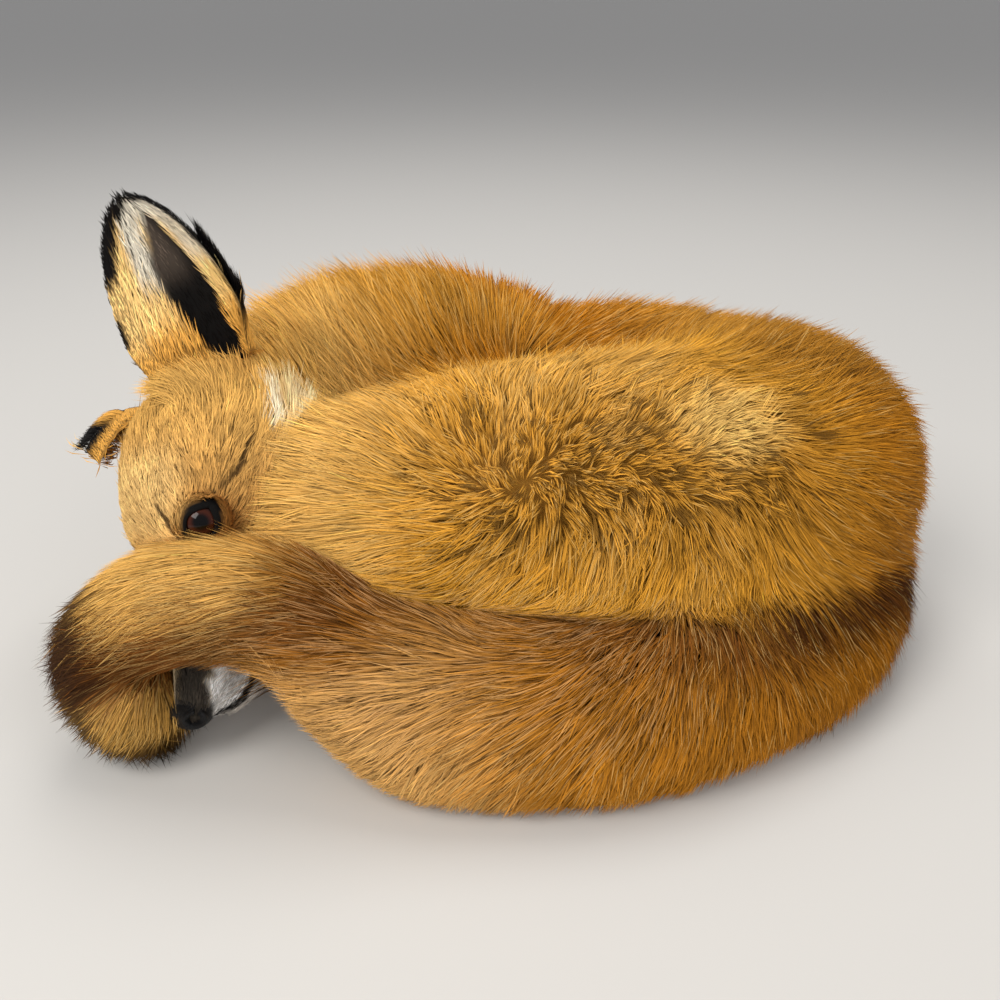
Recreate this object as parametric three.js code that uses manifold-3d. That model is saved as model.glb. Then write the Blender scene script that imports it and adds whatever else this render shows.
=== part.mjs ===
// A red fox mount, curled up asleep on its right side, at life size in millimetres.
// +X runs from the head to the rump, +Y from the open side of the curl to the back, +Z is up.
// The origin is on the floor under the trunk. Every solid reaches out to the tips of the coat.

import * as THREE from 'three';
import { mergeVertices } from 'three/addons/utils/BufferGeometryUtils.js';
import Module from 'manifold-3d';

const wasm = await Module();
wasm.setup();

// ---------------------------------------------------------------- driving dimensions

const GAP = 0.3;             // clearance between touching solids
const SLIVER = 0.12;         // faces and edges finer than this are closed up after a cut
const BODY_CELL = 18;        // spacing of the sampling grid over the body
const TAIL_CELL = 15;        // and over the tail
const HEAD_CELL = 9.4;        // and over the head

// The head has a frame of its own: a runs back from the nose tip, b to the fox's left, c to its crown.
const NOSE_TIP = [-137.3, -142.4, 19];
const MUZZLE_AXIS = [-0.038, -0.584, -0.811];    // from the nape to the nose
const CROWN_AXIS = [-0.785, -0.484, 0.387];      // from the jaw to the crown
const SKULL = { centre: [115.5, 0, 6], radii: [46, 40, 35] };
const MUZZLE = [[9, 0, 0, 10.5], [24, 0, -4, 15], [45, 0, -7, 18], [69, 0, -4, 22]];   // a, b, c, radius
const JAW = [[12, 0, -15, 8.5], [27, 0, -25, 12], [52, 0, -30, 13.5], [90, 0, -24, 17]];
const CHEEK = { left: [123.5, 21, -15], right: [119.5, -25, -14], radii: [35, 25, 29] };
const BROW = { centre: [93.5, 19, 18], radii: [18, 13, 13] };

const EYE = { centre: [89.5, 28.3, 14.4], radius: 11 };
const NOSE_PAD = { centre: [6.5, 0, 2], radii: [8, 9.5, 9] };

const EAR_LENGTH = 78;
const EAR_WIDTH = 64;
const EAR_CUP = 21;          // depth of the hollow at the base
const EAR_SKEW = 0.45;        // how much deeper the cup is on the side by the neck
const EAR_WALL = 4.5;        // ear with the hair on both of its faces
const EAR_ROWS = 8;
const EAR_COLUMNS = 6;
const EAR_LEFT = { root: [153.5, 27, 18], along: [-0.394, 0.258, 0.878], open: [-0.34, -0.9, 0.22] };
const EAR_RIGHT = { root: [119.5, -31, 15], along: [-0.345, 0.935, -0.084], open: [-0.13, -0.135, -0.98] };

// Tubes of the body, each station being x, y, z and radius.
const NECK = [[-122, -61, 127, 38], [-98, -6, 122, 48], [-58, 34, 116, 57], [-20, 64, 97, 62]];
const BACK = [[-24, 64, 90, 61], [30, 76, 80, 60], [84, 72, 80, 63], [130, 44, 76, 64], [148, 0, 74, 67]];
const LIMBS = [
  [-80, -98, 70, 42], [-60, -80, 86, 54], [-10, -64, 92, 64], [70, -54, 88, 71], [138, -12, 76, 73],
];
const BELLY = { centre: [45, 0, 55], radii: [160, 118, 75] };
const CHEST = { centre: [-40, 40, 50], radii: [78, 66, 62] };
const SHOULDER = { centre: [-67, -86, 107], radii: [37, 40, 41] };
const TAIL = [
  [188, 22, 38, 28], [184, -36, 34, 33], [140, -100, 28, 37], [60, -142, 25, 40], [-20, -148, 28, 40],
  [-60, -144, 50, 35], [-94, -138, 80, 28], [-130, -135, 80, 29], [-154, -132, 73, 26], [-171, -130, 51, 25],
  [-168, -133, 31, 26], [-160, -137, 22, 21],
];
const MUZZLE_HOLLOW = { centre: [-108, -150, 38], radii: [17, 36, 17] };   // where the muzzle comes out

// Thin cuts that part the body and the tail: a normal and how far along it the cut lies.
const NECK_CUT = { normal: [-0.6, 0.35, 0.72], at: 116 };
const SPINE_CUT = { normal: [-0.196, 0.981, 0], at: -13.7 };    // limbs on the near side, trunk beyond
const WAIST_CUT = { normal: [1, 0, 0], at: -20 };               // forelegs before it, hind legs behind
const SIDE_CUT = { normal: [0, 0, 1], at: 46 };                 // right legs below, left legs above
const TAIL_ROOT_CUT = { normal: [1, 0, 0], at: 104 };
const TAIL_TIP_CUT = { normal: [1, 0, 0], at: -72 };

const COAT = { roughness: 0.9, metalness: 0 };
const GLOSS = { roughness: 0.1, metalness: 0 };
const MOIST = { roughness: 0.45, metalness: 0 };

// ---------------------------------------------------------------- small vector helpers

const dot = (p, q) => p[0] * q[0] + p[1] * q[1] + p[2] * q[2];
const minus = (p, q) => [p[0] - q[0], p[1] - q[1], p[2] - q[2]];
const length = (p) => Math.hypot(p[0], p[1], p[2]);
const unit = (p) => p.map((value) => value / length(p));
const cross = (p, q) => [p[1] * q[2] - p[2] * q[1], p[2] * q[0] - p[0] * q[2], p[0] * q[1] - p[1] * q[0]];
const along = (p, direction, distance) => p.map((value, i) => value + direction[i] * distance);

/** Three square directions: the first kept, the second made square to it, the third theirs. */
function frame(first, second) {
  const u = unit(first);
  const v = unit(along(second, u, -dot(second, u)));
  return [u, v, cross(u, v)];
}

const [FORWARD, CROWN] = frame(MUZZLE_AXIS, CROWN_AXIS);
const LEFT = cross(CROWN, FORWARD);
const BACKWARD = FORWARD.map((value) => -value);
const HEAD_AXES = [BACKWARD, LEFT, CROWN];

/** A place in the head's frame as a point of the model. */
const headPoint = ([a, b, c]) => along(along(along(NOSE_TIP, BACKWARD, a), LEFT, b), CROWN, c);
const headStations = (stations) => stations.map((station) => [...headPoint(station), station[3]]);

// ---------------------------------------------------------------- distance fields

/** The lesser of two distances, with a fillet of about k where they meet. */
function blend(a, b, k) {
  const h = THREE.MathUtils.clamp(0.5 + 0.5 * (b - a) / k, 0, 1);
  return THREE.MathUtils.lerp(b, a, h) - k * h * (1 - h);
}

/** A Catmull-Rom spline through the stations, cut into short straight steps. */
function smoothStations(stations, stepsEach = 6) {
  const last = stations.length - 1;
  const before = stations[0].map((value, i) => 2 * value - stations[1][i]);
  const after = stations[last].map((value, i) => 2 * value - stations[last - 1][i]);
  const all = [before, ...stations, after];
  const result = [];
  for (let step = 0; step <= last * stepsEach; step += 1) {
    const span = Math.min(Math.floor(step / stepsEach), last - 1);
    const t = step / stepsEach - span;
    const [p0, p1, p2, p3] = all.slice(span, span + 4);
    result.push(p1.map((value, i) => 0.5 * (2 * value + (p2[i] - p0[i]) * t
      + (2 * p0[i] - 5 * value + 4 * p2[i] - p3[i]) * t * t
      + (3 * value - p0[i] - 3 * p2[i] + p3[i]) * t * t * t)));
  }
  return result;
}

/** Distance to a tapered tube through stations of x, y, z and radius. */
function tube(stations) {
  const line = smoothStations(stations);
  return (p) => {
    let nearest = Infinity;
    for (let i = 1; i < line.length; i += 1) {
      const [start, end] = [line[i - 1], line[i]];
      const step = minus(end, start);
      const t = THREE.MathUtils.clamp(dot(minus(p, start), step) / dot(step, step), 0, 1);
      const radius = THREE.MathUtils.lerp(start[3], end[3], t);
      nearest = Math.min(nearest, length(minus(p, along(start, step, t))) - radius);
    }
    return nearest;
  };
}

const WORLD_AXES = [[1, 0, 0], [0, 1, 0], [0, 0, 1]];

/** Distance to an ellipsoid, close to true near its surface. */
function ellipsoid(centre, radii, axes = WORLD_AXES) {
  return (p) => {
    const local = axes.map((axis) => dot(minus(p, centre), axis));
    const scaled = length(local.map((value, i) => value / radii[i]));
    const slope = length(local.map((value, i) => value / radii[i] ** 2));
    return scaled * (scaled - 1) / Math.max(slope, 1e-9);
  };
}

const mirrored = ([a, b, c]) => [a, -b, c];

/** A field with another's inside taken away from it. */
const carve = (a, b, k) => -blend(-a, b, k);

function headField() {
  const muzzle = tube(headStations(MUZZLE));
  const jaw = tube(headStations(JAW));
  const skull = ellipsoid(headPoint(SKULL.centre), SKULL.radii, HEAD_AXES);
  const cheekLeft = ellipsoid(headPoint(CHEEK.left), CHEEK.radii, HEAD_AXES);
  const cheekRight = ellipsoid(headPoint(CHEEK.right), CHEEK.radii, HEAD_AXES);
  const browLeft = ellipsoid(headPoint(BROW.centre), BROW.radii, HEAD_AXES);
  const browRight = ellipsoid(headPoint(mirrored(BROW.centre)), BROW.radii, HEAD_AXES);
  return (p) => {
    const face = blend(blend(muzzle(p), jaw(p), 6), skull(p), 22);
    const cheeked = blend(face, blend(cheekLeft(p), cheekRight(p), 5), 16);
    return blend(cheeked, blend(browLeft(p), browRight(p), 6), 12);
  };
}

function bodyField() {
  const back = tube(BACK);
  const limbs = tube(LIMBS);
  const neck = tube(NECK);
  const belly = ellipsoid(BELLY.centre, BELLY.radii);
  const chest = ellipsoid(CHEST.centre, CHEST.radii);
  const shoulder = ellipsoid(SHOULDER.centre, SHOULDER.radii);
  return (p) => {
    const trunk = blend(blend(back(p), limbs(p), 36), blend(belly(p), chest(p), 20), 20);
    return blend(blend(trunk, shoulder(p), 14), neck(p), 20);
  };
}

function tailField() {
  const whole = tube(TAIL);
  const hollow = ellipsoid(MUZZLE_HOLLOW.centre, MUZZLE_HOLLOW.radii);
  return (p) => carve(whole(p), hollow(p), 8);
}

// ---------------------------------------------------------------- from a field to a closed mesh

const CORNERS = [0, 1, 2, 3, 4, 5, 6, 7].map((n) => [n & 1, (n >> 1) & 1, (n >> 2) & 1]);
const EDGES = CORNERS.flatMap((_, n) => [1, 2, 4].filter((bit) => !(n & bit)).map((bit) => [n, n | bit]));

/** Moves a point on to the zero surface of a field, by its slope. */
function settle(field, point) {
  const reach = 0.5;
  let p = point;
  for (let pass = 0; pass < 3; pass += 1) {
    const rise = (axis) => field(along(p, axis, reach)) - field(along(p, axis, -reach));
    const slope = WORLD_AXES.map((axis) => rise(axis) / (2 * reach));
    p = along(p, slope, -field(p) / Math.max(dot(slope, slope), 0.1));
  }
  return p;
}

/** The closed surface where a field is zero: a vertex to each cell that it passes, a quad to each edge. */
function surfaceOf(field, low, high, cell) {
  const count = low.map((value, i) => Math.ceil((high[i] - value) / cell) + 1);
  const index = (i, j, k) => (k * count[1] + j) * count[0] + i;
  const place = (i, j, k) => [low[0] + i * cell, low[1] + j * cell, low[2] + k * cell];
  const values = new Float64Array(count[0] * count[1] * count[2]);
  const eachCell = (ends, visit) => {
    for (let k = 0; k < ends[2]; k += 1) {
      for (let j = 0; j < ends[1]; j += 1) {
        for (let i = 0; i < ends[0]; i += 1) visit(i, j, k);
      }
    }
  };
  eachCell(count, (i, j, k) => { values[index(i, j, k)] = field(place(i, j, k)); });

  const positions = [];
  const vertexOf = new Map();
  eachCell(count.map((n) => n - 1), (i, j, k) => {
    const corner = CORNERS.map(([x, y, z]) => values[index(i + x, j + y, k + z)]);
    const crossings = EDGES.filter(([m, n]) => (corner[m] < 0) !== (corner[n] < 0)).map(([m, n]) => {
      const t = corner[m] / (corner[m] - corner[n]);
      return CORNERS[m].map((value, axis) => THREE.MathUtils.lerp(value, CORNERS[n][axis], t));
    });
    if (crossings.length === 0) return;
    const sum = crossings.reduce((total, crossing) => along(total, crossing, 1));
    const middle = sum.map((value) => value / crossings.length);
    vertexOf.set(index(i, j, k), positions.length / 3);
    positions.push(...settle(field, place(i + middle[0], j + middle[1], k + middle[2])));
  });

  const faces = [];
  const corner = (n) => positions.slice(3 * n, 3 * n + 3);
  eachCell(count.map((n) => n - 1), (i, j, k) => {
    const here = values[index(i, j, k)] < 0;
    WORLD_AXES.forEach((axis, n) => {
      if (here === (values[index(i + axis[0], j + axis[1], k + axis[2])] < 0)) return;
      const [u, v] = [WORLD_AXES[(n + 1) % 3], WORLD_AXES[(n + 2) % 3]];
      const around = [[0, 0], [1, 0], [1, 1], [0, 1]].map(([s, t]) => vertexOf.get(
        index(i - s * u[0] - t * v[0], j - s * u[1] - t * v[1], k - s * u[2] - t * v[2])));
      const [a, b, c, d] = here ? around : around.reverse();
      const acrossAC = length(minus(corner(a), corner(c)));
      const acrossBD = length(minus(corner(b), corner(d)));
      faces.push(...(acrossAC < acrossBD ? [a, b, c, a, c, d] : [b, c, d, b, d, a]));
    });
  });
  return { positions, faces };
}

function geometryOf({ positions, faces }) {
  const geometry = new THREE.BufferGeometry();
  geometry.setAttribute('position', new THREE.Float32BufferAttribute(positions, 3));
  geometry.setIndex(faces);
  return geometry;
}

/** The same closed surface with every vertex moved out along its normal. */
function swollen(surface, distance) {
  const geometry = geometryOf(surface);
  geometry.computeVertexNormals();
  const normal = geometry.getAttribute('normal').array;
  const positions = surface.positions.map((value, i) => value + normal[i] * distance);
  return { positions, faces: surface.faces };
}

/** A closed surface from rings of equal length, with a cap at each end. */
function loft(rings) {
  const size = rings[0].length;
  const positions = rings.flat(2);
  const faces = [];
  for (let row = 1; row < rings.length; row += 1) {
    for (let i = 0; i < size; i += 1) {
      const [a, b] = [(row - 1) * size + i, (row - 1) * size + (i + 1) % size];
      faces.push(a, b, b + size, a, b + size, a + size);
    }
  }
  // The caps join the two sides of a ring straight across, as a ladder.
  const cap = (start, turned) => {
    for (let i = 0; i < size / 2 - 1; i += 1) {
      const quad = [start + i, start + size - 1 - i, start + size - 2 - i, start + i + 1];
      const [a, b, c, d] = turned ? quad.reverse() : quad;
      faces.push(a, b, c, a, c, d);
    }
  };
  cap(0, false);
  cap((rings.length - 1) * size, true);
  return { positions, faces };
}

// ---------------------------------------------------------------- joins and cuts

function solidOf({ positions, faces }) {
  const mesh = new wasm.Mesh({
    numProp: 3,
    vertProperties: Float32Array.from(positions),
    triVerts: Uint32Array.from(faces),
  });
  return new wasm.Manifold(mesh);
}

/** A three.js shape as a solid, its shared vertices merged. */
function solidOfShape(geometry, matrix) {
  geometry.applyMatrix4(matrix);
  geometry.deleteAttribute('normal');
  geometry.deleteAttribute('uv');
  const merged = mergeVertices(geometry, 1e-4);
  return solidOf({ positions: merged.getAttribute('position').array, faces: merged.index.array });
}

const largestPiece = (solid) => solid.decompose().reduce((a, b) => (a.volume() > b.volume() ? a : b));

/** The side of a cut that its normal points to, or the other side, each kept half a gap clear of it. */
const beyond = (solid, cut) => solid.trimByPlane(cut.normal, cut.at + GAP / 2);
const before = (solid, cut) => solid.trimByPlane(cut.normal.map((value) => -value), -cut.at + GAP / 2);
const onFloor = (solid) => solid.trimByPlane([0, 0, 1], 0);

// ---------------------------------------------------------------- the parts as solids

/** A ball or egg in the head's frame, grown by an allowance. */
function eggSolid(centre, radii, allowance, columns, rows) {
  const shape = new THREE.SphereGeometry(1, columns, rows);
  const axes = [FORWARD, LEFT, CROWN].map((axis) => new THREE.Vector3(...axis));
  const place = new THREE.Matrix4().makeBasis(...axes);
  place.setPosition(...headPoint(centre));
  const size = radii.map((radius) => radius + allowance);
  return solidOfShape(shape, place.multiply(new THREE.Matrix4().makeScale(...size)));
}

const eyeRadii = [EYE.radius, EYE.radius, EYE.radius];
const eyeSolid = (centre, allowance) => eggSolid(centre, eyeRadii, allowance, 12, 9);
const noseSolid = (allowance) => eggSolid(NOSE_PAD.centre, NOSE_PAD.radii, allowance, 12, 8);

/** Half the ear's width at t, from 0 at the root to 1 at the tip. */
function earHalfWidth(t) {
  const base = 0.8 + 0.2 * THREE.MathUtils.smoothstep(t, 0, 0.3);
  return EAR_WIDTH / 2 * base * (1 - t ** 2.6) ** 0.6;
}

/** A cupped leaf: each ring runs across the hollow face and back across the furred one. */
function earSurface({ root, along: axis, open }) {
  const [up, out, across] = frame(axis, open);
  const base = headPoint(root);
  const rings = [];
  for (let row = 0; row < EAR_ROWS; row += 1) {
    const t = 0.97 * row / (EAR_ROWS - 1);
    const cup = EAR_CUP * (1 - t) ** 0.8 + 2;
    const side = [-1, 1].map((sign) => {
      const points = [];
      for (let column = 0; column <= EAR_COLUMNS; column += 1) {
        const s = 2 * column / EAR_COLUMNS - 1;
        const hollow = cup * (1 - s * s) * (1 + EAR_SKEW * s);
        const sunk = -hollow - sign * EAR_WALL / 2 * (1 - 0.5 * s * s);
        const spread = (earHalfWidth(t) + 1) * s;
        points.push(along(along(along(base, up, t * EAR_LENGTH), across, spread), out, sunk));
      }
      return points;
    });
    rings.push([...side[0], ...side[1].reverse()]);
  }
  return loft(rings);
}

// ---------------------------------------------------------------- build and cut

const head = surfaceOf(headField(), [-210, -185, -15], [-55, 15, 180], HEAD_CELL);
const body = surfaceOf(bodyField(), [-200, -185, -60], [250, 190, 210], BODY_CELL);
const tail = surfaceOf(tailField(), [-215, -210, -35], [245, 80, 130], TAIL_CELL);

const headKeepOut = solidOf(swollen(head, GAP));
const bodyKeepOut = solidOf(swollen(body, GAP));
const tailKeepOut = solidOf(swollen(tail, GAP));

const eyeCentres = { left: EYE.centre, right: mirrored(EYE.centre) };
const sockets = eyeSolid(eyeCentres.left, GAP).add(eyeSolid(eyeCentres.right, GAP)).add(noseSolid(GAP));
const headSolid = largestPiece(solidOf(head).subtract(sockets));
const eyeBall = (centre) => largestPiece(eyeSolid(centre, 0).subtract(tailKeepOut).subtract(bodyKeepOut));

const tailSolid = onFloor(solidOf(tail)).subtract(headKeepOut).subtract(noseSolid(GAP));
const tailTipward = before(tailSolid, TAIL_ROOT_CUT);

const bodySolid = largestPiece(onFloor(solidOf(body)).subtract(headKeepOut).subtract(tailKeepOut));
const belowNeck = before(bodySolid, NECK_CUT);
const legs = before(belowNeck, SPINE_CUT);
const forelegs = before(legs, WAIST_CUT);
const hindLegs = beyond(legs, WAIST_CUT);

const earSolid = (ear) => largestPiece(solidOf(earSurface(ear)).subtract(headKeepOut).subtract(bodyKeepOut));

const solids = {
  head: headSolid,
  nose: noseSolid(0),
  eye_left: eyeBall(eyeCentres.left),
  eye_right: eyeBall(eyeCentres.right),
  ear_left: earSolid(EAR_LEFT),
  ear_right: earSolid(EAR_RIGHT),
  neck: beyond(bodySolid, NECK_CUT),
  trunk: beyond(belowNeck, SPINE_CUT),
  foreleg_left: beyond(forelegs, SIDE_CUT),
  foreleg_right: before(forelegs, SIDE_CUT),
  hind_leg_left: beyond(hindLegs, SIDE_CUT),
  hind_leg_right: before(hindLegs, SIDE_CUT),
  tail_root: beyond(tailSolid, TAIL_ROOT_CUT),
  tail_middle: beyond(tailTipward, TAIL_TIP_CUT),
  tail_tip: before(tailTipward, TAIL_TIP_CUT),
};

const paints = {
  head: { color: 0xc98f4e, ...COAT },
  nose: { color: 0x1b1a1c, ...MOIST },
  eye: { color: 0x3a1a10, ...GLOSS },
  ear: { color: 0x2a211c, ...COAT },
  neck: { color: 0xb56b25, ...COAT },
  trunk: { color: 0xb8702c, ...COAT },
  foreleg: { color: 0xbd8747, ...COAT },
  hind: { color: 0xb67c3a, ...COAT },
  tail: { color: 0xb0783a, ...COAT },
};

const group = new THREE.Group();
for (const [name, solid] of Object.entries(solids)) {
  const { vertProperties, triVerts } = largestPiece(solid.simplify(SLIVER)).getMesh();
  const geometry = geometryOf({ positions: Array.from(vertProperties), faces: Array.from(triVerts) });
  const mesh = new THREE.Mesh(geometry, new THREE.MeshStandardMaterial(paints[name.split('_')[0]]));
  mesh.name = name;
  group.add(mesh);
}

export default group;
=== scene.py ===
"""A red fox mount, curled up asleep, with a coat of solid mesh tufts.

Lengths are millimetres until a mesh is made. The coat's outside is a set of distance fields, the
same as the solids'. The skin lies inside it by the coat's depth, and every tuft grows from the skin
and ends at the outside, combed along the body.
"""
import math

import bpy
import numpy as np
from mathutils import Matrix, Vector
from mathutils.kdtree import KDTree


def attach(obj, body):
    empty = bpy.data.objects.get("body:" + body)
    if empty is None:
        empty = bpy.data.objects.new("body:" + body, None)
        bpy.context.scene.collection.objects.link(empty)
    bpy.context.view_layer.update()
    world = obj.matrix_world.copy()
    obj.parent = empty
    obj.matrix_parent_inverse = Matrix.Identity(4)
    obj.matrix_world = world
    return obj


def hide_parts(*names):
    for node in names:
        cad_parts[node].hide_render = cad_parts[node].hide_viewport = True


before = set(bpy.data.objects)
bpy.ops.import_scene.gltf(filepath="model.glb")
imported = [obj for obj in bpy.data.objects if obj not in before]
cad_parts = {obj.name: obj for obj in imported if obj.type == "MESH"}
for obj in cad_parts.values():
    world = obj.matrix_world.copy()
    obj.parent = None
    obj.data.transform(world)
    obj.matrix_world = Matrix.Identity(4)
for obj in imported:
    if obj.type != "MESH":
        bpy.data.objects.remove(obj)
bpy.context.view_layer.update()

MM = 0.001
RNG = np.random.default_rng(11)

# ---------- the body's sizes, as in the solids

NOSE_TIP = np.array([-137.3, -142.4, 19])
MUZZLE_AXIS = np.array([-0.038, -0.584, -0.811])
CROWN_AXIS = np.array([-0.785, -0.484, 0.387])
SKULL = ((115.5, 0, 6), (46, 40, 35))
MUZZLE = [(9, 0, 0, 10.5), (24, 0, -4, 15), (45, 0, -7, 18), (69, 0, -4, 22)]
JAW = [(12, 0, -15, 8.5), (27, 0, -25, 12), (52, 0, -30, 13.5), (90, 0, -24, 17)]
CHEEKS = [((123.5, 21, -15), (35, 25, 29)), ((119.5, -25, -14), (35, 25, 29))]
BROWS = [((93.5, 19, 18), (18, 13, 13)), ((93.5, -19, 18), (18, 13, 13))]
EYE_PLACE = np.array([89.5, 26.4, 13.4])
EYES = {"left": EYE_PLACE, "right": EYE_PLACE * (1, -1, 1)}
EYE_RADIUS = 10.0
EYE_AIM = np.array([-0.2, 0.88, 0.42])       # out of the left pupil, in the head's frame
EYE_SLANT = np.array([0.88, 0.36, -0.30])    # from the left eye's inner corner to its outer one

EAR_LENGTH = 79
EAR_WIDTH = 64
EAR_CUP = 21
EAR_SKEW = 0.45              # how much deeper the cup is on the side by the neck
EARS = {
    "left": dict(root=(153.5, 27, 18), along=(-0.394, 0.258, 0.878), open=(-0.34, -0.9, 0.22)),
    "right": dict(root=(119.5, -31, 15), along=(-0.345, 0.935, -0.084), open=(-0.13, -0.135, -0.98)),
}

NECK = [(-122, -61, 127, 38), (-98, -6, 122, 48), (-58, 34, 116, 57), (-20, 64, 97, 62)]
BACK = [(-24, 64, 90, 61), (30, 76, 80, 60), (84, 72, 80, 63), (130, 44, 76, 64), (148, 0, 74, 67)]
LIMBS = [(-80, -98, 70, 42), (-60, -80, 86, 54), (-10, -64, 92, 64), (70, -54, 88, 71), (138, -12, 76, 73)]
BELLY = ((45, 0, 55), (160, 118, 75))
CHEST = ((-40, 40, 50), (78, 66, 62))
SHOULDER = ((-67, -86, 107), (37, 40, 41))
MUZZLE_HOLLOW = ((-108, -150, 38), (17, 36, 17))
TAIL = [
    (188, 22, 38, 28), (184, -36, 34, 33), (140, -100, 28, 37), (60, -142, 25, 40), (-20, -148, 28, 40),
    (-60, -144, 50, 35), (-94, -138, 80, 28), (-130, -135, 80, 29), (-154, -132, 73, 26),
    (-171, -130, 51, 25), (-168, -133, 31, 26), (-160, -137, 22, 21),
]

# Lines of the left side of the face: the lips, and the dark folds from the eye's two corners.
NOSTRIL = (-0.42, 0.86, 0.14)                # on a ball of radius 1: back, left, up
NOSTRIL_SLIT = [(-0.15, 0.95, 0.12), (0, 0.98, 0.12), (0.15, 0.97, 0.1), (0.3, 0.93, 0.06), (0.42, 0.88, 0)]
MOUTH_LINE = [(3, 3, -6.5), (8, 7, -14), (12.5, 8, -19.5), (21.5, 9, -22.5), (30, 12, -24), (50, 17, -27)]
FACE_FOLDS = [                               # each a half width and a line
    (2.3, [(97, 34, 14.5), (105, 38, 9.5), (111, 41, 5), (119, 41, 2), (126, 41, 0.5), (135, 40, -1)]),
    (1.6, [(79, 27, 21.5), (83, 26.5, 25.5), (89, 25.5, 29.5), (95, 22.5, 33)]),
]
WHITE_PATCH = [(155, 38, -10), (144, 42, -10), (133, 44, -9)]     # behind the left cheek

# The coat's whorl on the haunch: the hair runs away from the line between these two points.
WHORL = np.array([(4, -108, 136), (108, -92, 136)], float)

# Strokes of the comb on the near side: a place as x and z, and a direction to the right and up.
STROKES = np.array([
    (-75, 120, -1, 0.15), (-75, 85, -1, -0.25), (-44, 142, -0.85, 0.4), (-22, 150, -0.5, 0.85),
    (26, 155, -0.15, 1), (88, 155, 0.05, 1), (132, 150, 0.45, 0.9), (163, 135, 0.85, 0.5),
    (176, 108, 1, 0), (167, 75, 0.75, -0.65), (154, 50, 0.45, -0.9), (106, 60, 0, -1),
    (106, 35, 0.05, -1), (62, 78, -0.5, -0.87), (62, 45, -0.3, -0.95), (26, 70, -0.75, -0.65),
    (9, 58, -0.97, -0.2), (-31, 60, -1, -0.05), (-66, 62, -1, -0.1), (-31, 86, -0.85, -0.5),
    (-22, 42, -0.7, -0.7), (9, 22, -0.35, -0.93), (-62, 40, -0.75, -0.65), (-79, 50, -0.8, -0.6),
    (79, 15, 0, -1), (-22, 15, -0.45, -0.9), (140, 20, 0.25, -0.95), (106, 95, 0.1, -1),
    (62, 105, -0.3, -0.95), (10, 105, -0.7, -0.7), (-30, 112, -0.95, -0.2), (145, 100, 0.75, -0.6),
    (-85, 168, -0.4, 0.9), (-45, 172, -0.1, 1), (-10, 160, 0.35, 0.9),
    (8, 134, 0.3, 0.7), (40, 136, 0.8, 0.3), (75, 134, 0.9, -0.2), (105, 130, 0.8, -0.5),
    (30, 118, 0.2, -0.8), (-110, 95, -1, -0.05), (-163, 85, -1, -0.2), (-154, 62, -0.8, -0.55),
    (-167, 35, -0.65, -0.75), (-125, 65, -0.85, -0.45), (-140, 32, -0.8, -0.6), (-137, 12, -0.75, -0.65),
    (-176, 15, -0.6, -0.8), (-150, 18, -0.7, -0.7), (-185, 55, -0.95, -0.4), (-100, 72, -0.9, -0.4),
])
STROKE_REACH = 17.0

# The dark band along the near side, partly the coat's own brown and partly painted shade in the groove
# between haunch and tail: its heights along x, and half its width.
BAND_X = [-180, -128, -79, -41, -8, 60, 123, 163, 191]
BAND_HEIGHT = [61, 69, 76, 70, 68, 67, 79, 90, 99]
BAND_WIDTH = 17

VIEW_UP = np.array([0, 0.469, 0.883])
VIEW_SIDE = np.array([0, -0.883, 0.469])    # the direction that the near side faces

GRID_LOW = np.array([-222, -204, -12])
GRID_HIGH = np.array([250, 186, 190])
GRID_CELL = 3.0
FLOOR_RISE = 1.5             # the skin's underside stays this far above the floor
TUFT_RISE = 0.25             # and the tufts this far
PIECE_TUFTS = 33000          # keeps a piece of six-sided tufts under 200,000 triangles
FACE_DENSITY = 1.75          # tufts a square millimetre of skin
COAT_DENSITY = 0.97
LID_DENSITY = 4.2
EAR_DENSITY = 1.0
HIDDEN_DEPTH = 24            # skin further than this inside the whole coat has no tufts
COVERED_DEPTH = 10           # nor has skin this far inside another part's coat
MIDDLE_SHARE = 0.42          # how far along a tuft its thickest part is
LOCK_TUFTS = 12              # tufts that lean together
SEARCH_ROWS = 40000          # how many tufts are looked up at once, to spare memory
HALF_PATCH = 0.0015          # half of a tuft's patch in the map
OPENING = (-1.2, 8, (5.2, 6.6))      # the almond between the lids: its middle, reach, and two half heights
BARE = (0.3, 12, (6.6, 7.8))         # the almond of black bare skin round that one
EYE_MESH = (64, 48)          # faces round a ball's pole, and from pole to pole
NOSE_MESH = (120, 84)
LID_COLUMNS = 96
EAR_ROWS, EAR_COLUMNS = 48, 34
LID_REACH = 14.0             # from an eye's middle to its lids' outer edge, along the ball
LID_SECTION = [              # round the lids' section: the share of the way out, and the height
    (1, 0.12), (0.5, 0.12), (0.05, 0.12), (0, 0.5), (0.03, 0.9), (0.12, 1.4), (0.25, 1.7), (0.45, 1.8),
    (0.65, 1.5), (0.85, 1), (1, 0.4),
]
NOSE_MIDDLE = (6.5, 0, 1.4)
NOSE_RADII = (8.4, 10.2, 10)
EAR_SKIN = 0.9               # half the thickness of an ear's skin
HOLLOW_T = [0, 0.11, 0.23, 0.44, 0.64, 0.82, 0.92]         # up the ear, the hollow's middle and half width
HOLLOW_MIDDLE = [0.10, 0.12, 0.14, 0.14, 0.12, 0.26, 0.40]
HOLLOW_HALF = [0.20, 0.34, 0.44, 0.46, 0.40, 0.22, 0.03]

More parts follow.
